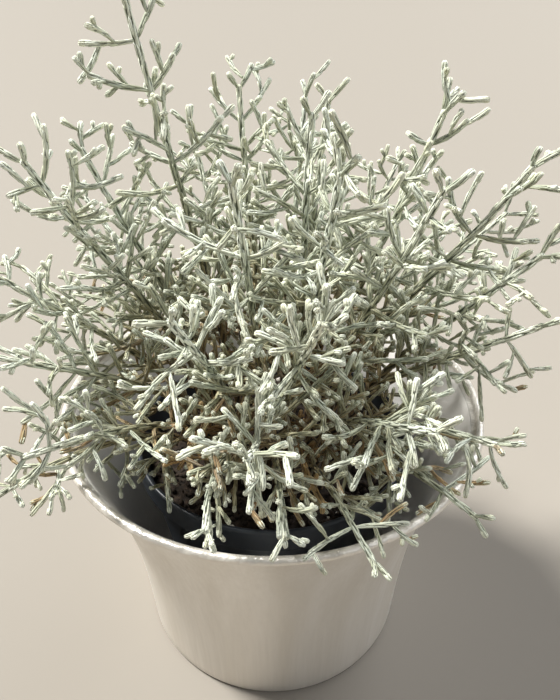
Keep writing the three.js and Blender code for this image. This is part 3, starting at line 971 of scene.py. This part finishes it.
def soil_height_at(x, y):
    waves = np.sin(x * 0.37 + 1) * np.cos(y * 0.31) + 0.6 * np.sin(y * 0.83 + x * 0.19)
    grains = 0.35 * np.sin(x * 1.9 + 2 * np.sin(y * 1.3)) * np.cos(y * 2.3 + 1.5 * np.sin(x * 1.1))
    return SOIL_TOP + SOIL_RELIEF * (waves + grains)


def soil_piece():
    rim = nursery_inner_radius_at(SOIL_TOP) - REST_GAP * 2
    foot = nursery_inner_radius_at(SOIL_BOTTOM) - REST_GAP * 2
    rings = 44
    sides = 150
    profile = [(0, SOIL_BOTTOM), (foot, SOIL_BOTTOM), (rim, SOIL_TOP - 3)]
    profile += [(rim * (1 - k / rings), SOIL_TOP) for k in range(rings + 1)]
    piece = lathe("potting_soil_crumbly", profile, sides)
    corners = np.empty(len(piece.data.vertices) * 3, np.float32)
    piece.data.vertices.foreach_get("co", corners)
    corners = corners.reshape(-1, 3)
    top = corners[:, 2] > (SOIL_TOP - 1) * MM
    heights = soil_height_at(corners[top, 0] / MM, corners[top, 1] / MM)
    corners[top, 2] = heights * MM
    piece.data.vertices.foreach_set("co", corners.ravel())
    return piece


def crumbs_piece(stems):
    """Loose crumbs and chips of bark on the soil, each one a small uneven lump."""
    generator = np.random.default_rng(CRUMB_SEED)
    roots = np.array([stem.root for stem in stems])
    patchwork = Patchwork()
    golden = (1 + math.sqrt(5)) / 2
    rectangle = np.array([(0, a, b * golden) for a in (-1, 1) for b in (-1, 1)])
    lump = unit(np.concatenate([np.roll(rectangle, -k, axis=1) for k in range(3)]))
    faces = hull_faces(lump)
    placed = 0
    while placed < CRUMBS:
        reach = CRUMB_REACH * math.sqrt(generator.uniform())
        turn = generator.uniform(0, 2 * math.pi)
        spot = np.array(polar(turn, reach))
        size = generator.uniform(*CRUMB_SIZES)
        if np.hypot(*(roots - spot).T).min() < size + STEM_FOOT_RADIUS:
            continue
        stretch = generator.uniform(0.5, 1.3, 3) * size
        corners = lump * stretch * generator.uniform(0.75, 1.15, (12, 1))
        spin = generator.uniform(0, 2 * math.pi)
        turned = np.stack([
            corners[:, 0] * math.cos(spin) - corners[:, 1] * math.sin(spin),
            corners[:, 0] * math.sin(spin) + corners[:, 1] * math.cos(spin),
            corners[:, 2],
        ], axis=1)
        height = soil_height_at(spot[0], spot[1]) + stretch[2] * 0.35
        is_pale = generator.uniform() < PALE_CRUMB_SHARE
        tone = generator.uniform(-0.5, 0.5)
        patchwork.add(turned + np.array([*spot, height]), faces, is_pale, 0, tone)
        placed += 1
    return patchwork.to_object("potting_soil_crumbs")


def hull_faces(corners):
    """The triangles of a convex lump, facing out."""
    faces = []
    count = len(corners)
    for i in range(count):
        for j in range(i + 1, count):
            for k in range(j + 1, count):
                normal = np.cross(corners[j] - corners[i], corners[k] - corners[i])
                heights = corners @ normal - corners[i] @ normal
                if (heights < 1e-6).all():
                    faces.append([i, j, k])
                elif (heights > -1e-6).all():
                    faces.append([i, k, j])
    return np.array(faces)


# Materials.
class Recipe:
    """A material's node tree, with short calls for the nodes that the materials here use."""

    def __init__(self, name):
        self.material = bpy.data.materials.new(name)
        self.material.use_nodes = True
        self.tree = self.material.node_tree
        self.shader = self.tree.nodes["Principled BSDF"]

    def node(self, kind, constants=None, **settings):
        made = self.tree.nodes.new(kind)
        for name, value in settings.items():
            setattr(made, name, value)
        for name, value in (constants or {}).items():
            made.inputs[name].default_value = value
        return made

    def link(self, output, target):
        self.tree.links.new(output, target)

    def attribute(self, name):
        return self.node("ShaderNodeAttribute", attribute_name=name).outputs["Fac"]

    def place(self, scale=(1, 1, 1)):
        """The place on the object, in metres, drawn out along the axes where the scale is small."""
        coordinates = self.node("ShaderNodeTexCoord").outputs["Object"]
        mapping = self.node("ShaderNodeMapping", {"Scale": scale})
        self.link(coordinates, mapping.inputs["Vector"])
        return mapping.outputs["Vector"]

    def noise(self, scale, detail, stretch=(1, 1, 1)):
        noise = self.node("ShaderNodeTexNoise", {"Scale": scale, "Detail": detail})
        self.link(self.place(stretch), noise.inputs["Vector"])
        return noise.outputs["Fac"]

    def ramp(self, factor, stops):
        ramp = self.node("ShaderNodeValToRGB")
        points = ramp.color_ramp.elements
        while len(points) < len(stops):
            points.new(0.5)
        for point, (position, color) in zip(points, stops):
            point.position = position
            point.color = (*color, 1)
        self.link(factor, ramp.inputs["Fac"])
        return ramp.outputs["Color"]

    def blend(self, factor, a, b, how="MIX"):
        blend = self.node("ShaderNodeMix", data_type="RGBA", blend_type=how)
        for value, socket in ((factor, blend.inputs[0]), (a, blend.inputs[6]), (b, blend.inputs[7])):
            if isinstance(value, tuple):
                socket.default_value = (*value, 1)
            else:
                self.link(value, socket)
        return blend.outputs[2]

    def spread(self, value, low, high, to_low, to_high):
        """Maps a value from one range to another."""
        limits = {"From Min": low, "From Max": high, "To Min": to_low, "To Max": to_high}
        spread = self.node("ShaderNodeMapRange", limits)
        self.link(value, spread.inputs["Value"])
        return spread.outputs["Result"]

    def bump(self, height, strength, distance, normal=None):
        bump = self.node("ShaderNodeBump", {"Strength": strength, "Distance": distance})
        self.link(height, bump.inputs["Height"])
        if normal is not None:
            self.link(normal, bump.inputs["Normal"])
        return bump.outputs["Normal"]

    def finish(self, color, roughness, normal):
        self.link(color, self.shader.inputs["Base Color"])
        self.link(normal, self.shader.inputs["Normal"])
        if isinstance(roughness, float):
            self.shader.inputs["Roughness"].default_value = roughness
        else:
            self.link(roughness, self.shader.inputs["Roughness"])
        return self.material


def foliage_material(name, ridges, painted_groove_shades, warm, cool):
    """Felted scale leaves: pale on their keels, dark in the grooves, woody towards the foot of the stem. The
    dark of the grooves is painted shade over the core's own darker green.
    """
    recipe = Recipe(name)
    age = recipe.attribute("age")
    tone = recipe.attribute("tone")
    keel = recipe.ramp(age, ridges)
    painted_groove_shade = recipe.ramp(age, painted_groove_shades)
    keel = recipe.blend(recipe.spread(tone, 0.1, 1.3, 0, 0.6), keel, warm)
    keel = recipe.blend(recipe.spread(tone, -0.1, -1.0, 0, 0.5), keel, cool)
    # Keel colour on the ridges, painted groove shade between them.
    color = recipe.blend(recipe.spread(recipe.attribute("ridge"), 0.02, 0.36, 0, 1), painted_groove_shade, keel)
    felt = recipe.noise(2600, 2)
    patches = recipe.noise(300, 2)
    color = recipe.blend(recipe.spread(patches, 0.4, 0.7, 0, 0.35), color, (0.55, 0.57, 0.44), "MULTIPLY")
    recipe.shader.inputs["Sheen Weight"].default_value = 0.15
    return recipe.finish(color, 0.85, recipe.bump(felt, 0.5, 0.0002))


def metal_material():
    """Brushed metal with streaks, duller bands and an uneven rim. Its inner side is duller and paler:
    painted light on the inner wall, which the plant shades.
    """
    recipe = Recipe("brushed metal")
    inside = recipe.attribute("inside")
    streaks = recipe.noise(900, 4, (1, 1, 0.012))
    bands = recipe.noise(90, 3, (1, 1, 0.02))
    # The warm tint of these metal colours is partly painted reflection of a warm wooden table; the rest is
    # the metal's own silver.
    color = recipe.ramp(bands, [(0.3, (0.75, 0.70, 0.62)), (0.7, (0.87, 0.83, 0.77))])
    color = recipe.blend(recipe.spread(streaks, 0.3, 0.7, 0, 0.2), color, (0.64, 0.61, 0.56))
    # The paler, non-metallic inner wall is painted light, standing in for light on the shaded inside of the
    # pot.
    color = recipe.blend(inside, color, (0.93, 0.90, 0.86))
    recipe.link(recipe.spread(inside, 0, 1, 0.4, 0), recipe.shader.inputs["Metallic"])
    roughness = recipe.spread(streaks, 0.3, 0.7, 0.3, 0.44)
    height = recipe.node("ShaderNodeSeparateXYZ")
    recipe.link(recipe.place(), height.inputs["Vector"])
    dents = recipe.noise(300, 2)
    below_rim, above = (COVER_HEIGHT - 3.2) * MM, (COVER_HEIGHT - 2.4) * MM
    on_rim = recipe.spread(height.outputs["Z"], below_rim, above, 0, 1)
    rim = recipe.node("ShaderNodeMath", operation="MULTIPLY")
    recipe.link(dents, rim.inputs[0])
    recipe.link(on_rim, rim.inputs[1])
    normal = recipe.bump(rim.outputs["Value"], 0.9, 0.001, recipe.bump(streaks, 0.2, 0.00006))
    return recipe.finish(color, roughness, normal)


def plastic_material():
    """Thin black plastic with a faint grain and dust."""
    recipe = Recipe("black plastic")
    grain = recipe.noise(1800, 3)
    dust = recipe.noise(70, 4, (1, 1, 0.4))
    color = recipe.ramp(dust, [(0.4, (0.016, 0.021, 0.028)), (0.75, (0.06, 0.068, 0.078))])
    return recipe.finish(color, recipe.spread(dust, 0.3, 0.7, 0.3, 0.46), recipe.bump(grain, 0.2, 0.0001))


def soil_material():
    """Dark potting mix."""
    recipe = Recipe("soil")
    clods = recipe.noise(420, 5)
    fibres = recipe.noise(1500, 3, (1, 0.3, 1))
    browns = [(0.3, (0.008, 0.006, 0.004)), (0.62, (0.035, 0.022, 0.013)), (0.8, (0.09, 0.06, 0.04))]
    color = recipe.ramp(clods, browns)
    normal = recipe.bump(clods, 0.9, 0.0012, recipe.bump(fibres, 0.5, 0.0004))
    return recipe.finish(color, 0.95, normal)


def crumb_material():
    """Crumbs of the same mix, with a few pale grains."""
    recipe = Recipe("crumbs")
    clods = recipe.noise(700, 4)
    dark = recipe.ramp(clods, [(0.3, (0.009, 0.006, 0.004)), (0.7, (0.045, 0.028, 0.017))])
    color = recipe.blend(recipe.attribute("ridge"), dark, (0.55, 0.52, 0.46))
    return recipe.finish(color, 0.95, recipe.bump(clods, 0.7, 0.0006))


def floor_material():
    recipe = Recipe("floor")
    recipe.shader.inputs["Base Color"].default_value = (0.29, 0.262, 0.226, 1)
    recipe.shader.inputs["Roughness"].default_value = 0.8
    return recipe.material


def dress(piece, material, body, slot, *nodes):
    """Gives a piece its material, and says what it rides on and which solids it replaces."""
    piece.data.materials.clear()
    piece.data.materials.append(material)
    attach(piece, body)
    if nodes:
        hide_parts(*nodes)


# Stage, lights and camera.
def pale_floor():
    """A floor that runs out to the horizon."""
    rings = (0.4, 1.2, 4, 30)
    sides = 64
    corners = [(0, 0, 0)] + [(*polar(turn, reach), 0) for reach in rings for turn in turns(sides)]
    faces = [[0, 1 + k, 1 + (k + 1) % sides] for k in range(sides)]
    faces += (ring_faces(len(rings), sides)[:, ::-1] + 1).tolist()
    floor = make_mesh("pale_floor", corners, faces)
    floor.data.materials.append(floor_material())


def sun_light(name, place, softness, power, color):
    """A broad, even light from a direction."""
    data = bpy.data.lights.new(name, "SUN")
    data.angle = math.radians(softness)
    data.energy = power
    data.color = color
    lamp = bpy.data.objects.new(name, data)
    bpy.context.scene.collection.objects.link(lamp)
    aim(lamp, place, (0, 0, 0))


def aim(thing, place, target):
    """Puts a camera or light at a place, looking at a target."""
    from_to = np.array(target, float) - np.array(place, float)
    heading = math.atan2(from_to[1], from_to[0])
    fall = math.atan2(from_to[2], math.hypot(from_to[0], from_to[1]))
    thing.location = place
    thing.rotation_euler = (math.pi / 2 + fall, 0, heading - math.pi / 2)


def studio():
    world = bpy.data.worlds.new("studio")
    world.use_nodes = True
    background = world.node_tree.nodes["Background"]
    background.inputs["Color"].default_value = (0.92, 0.96, 1.0, 1)
    background.inputs["Strength"].default_value = 0.12
    bpy.context.scene.world = world
    bpy.context.scene.view_settings.view_transform = "Standard"
    sun_light("key", (-0.6, 0.25, 0.95), 12, 6.4, (1.0, 0.99, 0.95))
    sun_light("back", (0.75, 0.65, 0.85), 50, 1.8, (0.96, 0.98, 1.0))
    sun_light("fill", (0.9, -0.5, 0.8), 50, 0.8, (0.96, 0.98, 1.0))


def camera():
    data = bpy.data.cameras.new("camera")
    data.sensor_width = SENSOR_WIDTH
    data.lens = FOCAL_PIXELS / FRAME_HEIGHT_PIXELS * SENSOR_WIDTH
    data.clip_start = 0.01
    thing = bpy.data.objects.new("camera", data)
    bpy.context.scene.collection.objects.link(thing)
    rise = math.radians(CAMERA_ELEVATION)
    target = np.array(CAMERA_TARGET) * MM
    back = CAMERA_DISTANCE * MM
    place = target + np.array([0, -math.cos(rise) * back, math.sin(rise) * back])
    aim(thing, tuple(place), tuple(target))
    bpy.context.scene.camera = thing


def main():
    camera()
    studio()
    pale_floor()
    stems = grow_plant()
    silver = foliage_material(
        "silver foliage",
        [(0.0, (0.22, 0.13, 0.06)), (0.35, (0.42, 0.28, 0.13)), (0.6, (0.36, 0.32, 0.18)),
         (0.8, (0.50, 0.53, 0.40)), (0.95, (0.86, 0.89, 0.77))],
        # Groove colours: the core's darker green, deepened with painted shade between the leaves.
        [(0.0, (0.025, 0.015, 0.008)), (0.35, (0.035, 0.025, 0.013)), (0.6, (0.05, 0.05, 0.028)),
         (0.8, (0.045, 0.055, 0.03)), (0.95, (0.07, 0.085, 0.045))],
        (0.74, 0.71, 0.47),
        (0.62, 0.70, 0.64),
    )
    dry = foliage_material(
        "dry foliage",
        [(0.0, (0.26, 0.14, 0.055)), (0.6, (0.44, 0.26, 0.10)), (1.0, (0.56, 0.42, 0.22))],
        # Groove colours of the dry shoots: darker wood, deepened with painted shade between the leaves.
        [(0.0, (0.04, 0.02, 0.008)), (0.6, (0.08, 0.04, 0.015)), (1.0, (0.13, 0.085, 0.04))],
        (0.60, 0.36, 0.12),
        (0.40, 0.36, 0.24),
    )
    for stem in stems:
        slot = "dry_foliage" if stem.dry else "silver_foliage"
        dress(stem_piece(stem), dry if stem.dry else silver, "root", slot, stem.name)
    dress(cover_pot_piece(), metal_material(), "root", "brushed_metal", "cover_pot")
    dress(nursery_pot_piece(), plastic_material(), "root", "black_plastic", "nursery_pot")
    dress(soil_piece(), soil_material(), "root", "soil", "potting_soil")
    dress(crumbs_piece(stems), crumb_material(), "root", "soil")


main()
